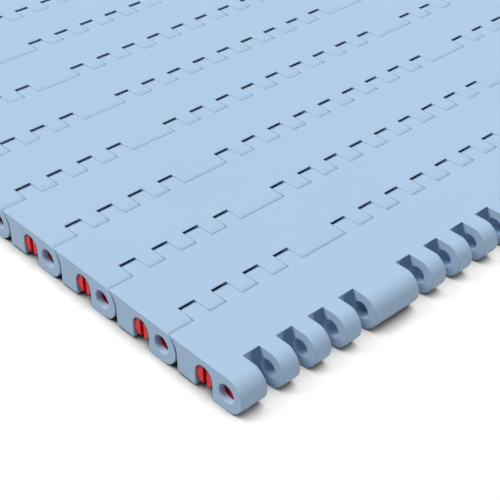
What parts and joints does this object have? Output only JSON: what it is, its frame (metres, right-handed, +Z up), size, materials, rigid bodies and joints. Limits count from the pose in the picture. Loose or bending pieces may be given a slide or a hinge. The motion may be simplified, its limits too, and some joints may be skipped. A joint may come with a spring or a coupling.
{
  "type": "modular plastic belt",
  "caption": "Section of a flat top modular conveyor belt: interleaved moulded rows hinged on plastic pins, with red snap-in clips at both edges that keep the pins in.",
  "frame": {"origin": "on the plane that the belt lies on, in the middle of the section's length and width", "axes": "+X across the belt, +Y along the belt towards its rear end, away from the open front hinge knuckles, +Z up out of the carrying face"},
  "size_m": [0.2286, 0.24, 0.0113],
  "materials": {
    "row_plastic": "fine moulded matt",
    "pin_plastic": "extruded satin",
    "clip_plastic": "moulded satin"
  },
  "bodies": {
    "belt_row_1": {"belt_row_1": "row_plastic"},
    "belt_row_2": {"belt_row_2": "row_plastic"},
    "belt_row_3": {"belt_row_3": "row_plastic"},
    "belt_row_4": {"belt_row_4": "row_plastic"},
    "belt_row_5": {"belt_row_5": "row_plastic"},
    "belt_row_6": {"belt_row_6": "row_plastic"},
    "belt_row_7": {"belt_row_7": "row_plastic"},
    "belt_row_8": {"belt_row_8": "row_plastic"},
    "belt_row_9": {"belt_row_9": "row_plastic"},
    "hinge_pin_1": {"hinge_pin_1": "pin_plastic"},
    "hinge_pin_2": {"hinge_pin_2": "pin_plastic"},
    "hinge_pin_3": {"hinge_pin_3": "pin_plastic"},
    "hinge_pin_4": {"hinge_pin_4": "pin_plastic"},
    "hinge_pin_5": {"hinge_pin_5": "pin_plastic"},
    "hinge_pin_6": {"hinge_pin_6": "pin_plastic"},
    "hinge_pin_7": {"hinge_pin_7": "pin_plastic"},
    "hinge_pin_8": {"hinge_pin_8": "pin_plastic"},
    "left_clip_1": {"left_clip_1": "clip_plastic"},
    "left_clip_2": {"left_clip_2": "clip_plastic"},
    "left_clip_3": {"left_clip_3": "clip_plastic"},
    "left_clip_4": {"left_clip_4": "clip_plastic"},
    "left_clip_5": {"left_clip_5": "clip_plastic"},
    "left_clip_6": {"left_clip_6": "clip_plastic"},
    "left_clip_7": {"left_clip_7": "clip_plastic"},
    "left_clip_8": {"left_clip_8": "clip_plastic"},
    "left_clip_9": {"left_clip_9": "clip_plastic"},
    "right_clip_1": {"right_clip_1": "clip_plastic"},
    "right_clip_2": {"right_clip_2": "clip_plastic"},
    "right_clip_3": {"right_clip_3": "clip_plastic"},
    "right_clip_4": {"right_clip_4": "clip_plastic"},
    "right_clip_5": {"right_clip_5": "clip_plastic"},
    "right_clip_6": {"right_clip_6": "clip_plastic"},
    "right_clip_7": {"right_clip_7": "clip_plastic"},
    "right_clip_8": {"right_clip_8": "clip_plastic"},
    "right_clip_9": {"right_clip_9": "clip_plastic"}
  },
  "joints": [
    {"name": "hinge_1", "type": "hinge", "parent": "belt_row_1", "child": "belt_row_2", "pos_m": [0, -0.08883, 0.00575], "axis": [1, 0, 0], "range_deg": [-36, 30]},
    {"name": "hinge_2", "type": "hinge", "parent": "belt_row_2", "child": "belt_row_3", "pos_m": [0, -0.06342, 0.00575], "axis": [1, 0, 0], "range_deg": [-36, 30]},
    {"name": "hinge_3", "type": "hinge", "parent": "belt_row_3", "child": "belt_row_4", "pos_m": [0, -0.03803, 0.00575], "axis": [1, 0, 0], "range_deg": [-36, 30]},
    {"name": "hinge_4", "type": "hinge", "parent": "belt_row_4", "child": "belt_row_5", "pos_m": [0, -0.01263, 0.00575], "axis": [1, 0, 0], "range_deg": [-36, 30]},
    {"name": "hinge_5", "type": "hinge", "parent": "belt_row_5", "child": "belt_row_6", "pos_m": [0, 0.01277, 0.00575], "axis": [1, 0, 0], "range_deg": [-36, 30]},
    {"name": "hinge_6", "type": "hinge", "parent": "belt_row_6", "child": "belt_row_7", "pos_m": [0, 0.03818, 0.00575], "axis": [1, 0, 0], "range_deg": [-36, 30]},
    {"name": "hinge_7", "type": "hinge", "parent": "belt_row_7", "child": "belt_row_8", "pos_m": [0, 0.06358, 0.00575], "axis": [1, 0, 0], "range_deg": [-36, 30]},
    {"name": "hinge_8", "type": "hinge", "parent": "belt_row_8", "child": "belt_row_9", "pos_m": [0, 0.08897, 0.00575], "axis": [1, 0, 0], "range_deg": [-36, 30]},
    {"name": "hinge_pin_1_turn", "type": "hinge", "parent": "belt_row_2", "child": "hinge_pin_1", "pos_m": [0, -0.08883, 0.00575], "axis": [1, 0, 0], "continuous": true},
    {"name": "hinge_pin_2_turn", "type": "hinge", "parent": "belt_row_3", "child": "hinge_pin_2", "pos_m": [0, -0.06342, 0.00575], "axis": [1, 0, 0], "continuous": true},
    {"name": "hinge_pin_3_turn", "type": "hinge", "parent": "belt_row_4", "child": "hinge_pin_3", "pos_m": [0, -0.03803, 0.00575], "axis": [1, 0, 0], "continuous": true},
    {"name": "hinge_pin_4_turn", "type": "hinge", "parent": "belt_row_5", "child": "hinge_pin_4", "pos_m": [0, -0.01263, 0.00575], "axis": [1, 0, 0], "continuous": true},
    {"name": "hinge_pin_5_turn", "type": "hinge", "parent": "belt_row_6", "child": "hinge_pin_5", "pos_m": [0, 0.01277, 0.00575], "axis": [1, 0, 0], "continuous": true},
    {"name": "hinge_pin_6_turn", "type": "hinge", "parent": "belt_row_7", "child": "hinge_pin_6", "pos_m": [0, 0.03818, 0.00575], "axis": [1, 0, 0], "continuous": true},
    {"name": "hinge_pin_7_turn", "type": "hinge", "parent": "belt_row_8", "child": "hinge_pin_7", "pos_m": [0, 0.06358, 0.00575], "axis": [1, 0, 0], "continuous": true},
    {"name": "hinge_pin_8_turn", "type": "hinge", "parent": "belt_row_9", "child": "hinge_pin_8", "pos_m": [0, 0.08897, 0.00575], "axis": [1, 0, 0], "continuous": true},
    {"name": "left_clip_1_slide", "type": "slide", "parent": "belt_row_1", "child": "left_clip_1", "axis": [0, 0, -1], "range_m": [0, 0.006]},
    {"name": "right_clip_1_slide", "type": "slide", "parent": "belt_row_1", "child": "right_clip_1", "axis": [0, 0, -1], "range_m": [0, 0.006]},
    {"name": "left_clip_2_slide", "type": "slide", "parent": "belt_row_2", "child": "left_clip_2", "axis": [0, 0, -1], "range_m": [0, 0.006]},
    {"name": "right_clip_2_slide", "type": "slide", "parent": "belt_row_2", "child": "right_clip_2", "axis": [0, 0, -1], "range_m": [0, 0.006]},
    {"name": "left_clip_3_slide", "type": "slide", "parent": "belt_row_3", "child": "left_clip_3", "axis": [0, 0, -1], "range_m": [0, 0.006]},
    {"name": "right_clip_3_slide", "type": "slide", "parent": "belt_row_3", "child": "right_clip_3", "axis": [0, 0, -1], "range_m": [0, 0.006]},
    {"name": "left_clip_4_slide", "type": "slide", "parent": "belt_row_4", "child": "left_clip_4", "axis": [0, 0, -1], "range_m": [0, 0.006]},
    {"name": "right_clip_4_slide", "type": "slide", "parent": "belt_row_4", "child": "right_clip_4", "axis": [0, 0, -1], "range_m": [0, 0.006]},
    {"name": "left_clip_5_slide", "type": "slide", "parent": "belt_row_5", "child": "left_clip_5", "axis": [0, 0, -1], "range_m": [0, 0.006]},
    {"name": "right_clip_5_slide", "type": "slide", "parent": "belt_row_5", "child": "right_clip_5", "axis": [0, 0, -1], "range_m": [0, 0.006]},
    {"name": "left_clip_6_slide", "type": "slide", "parent": "belt_row_6", "child": "left_clip_6", "axis": [0, 0, -1], "range_m": [0, 0.006]},
    {"name": "right_clip_6_slide", "type": "slide", "parent": "belt_row_6", "child": "right_clip_6", "axis": [0, 0, -1], "range_m": [0, 0.006]},
    {"name": "left_clip_7_slide", "type": "slide", "parent": "belt_row_7", "child": "left_clip_7", "axis": [0, 0, -1], "range_m": [0, 0.006]},
    {"name": "right_clip_7_slide", "type": "slide", "parent": "belt_row_7", "child": "right_clip_7", "axis": [0, 0, -1], "range_m": [0, 0.006]},
    {"name": "left_clip_8_slide", "type": "slide", "parent": "belt_row_8", "child": "left_clip_8", "axis": [0, 0, -1], "range_m": [0, 0.006]},
    {"name": "right_clip_8_slide", "type": "slide", "parent": "belt_row_8", "child": "right_clip_8", "axis": [0, 0, -1], "range_m": [0, 0.006]},
    {"name": "left_clip_9_slide", "type": "slide", "parent": "belt_row_9", "child": "left_clip_9", "axis": [0, 0, -1], "range_m": [0, 0.006]},
    {"name": "right_clip_9_slide", "type": "slide", "parent": "belt_row_9", "child": "right_clip_9", "axis": [0, 0, -1], "range_m": [0, 0.006]}
  ]
}
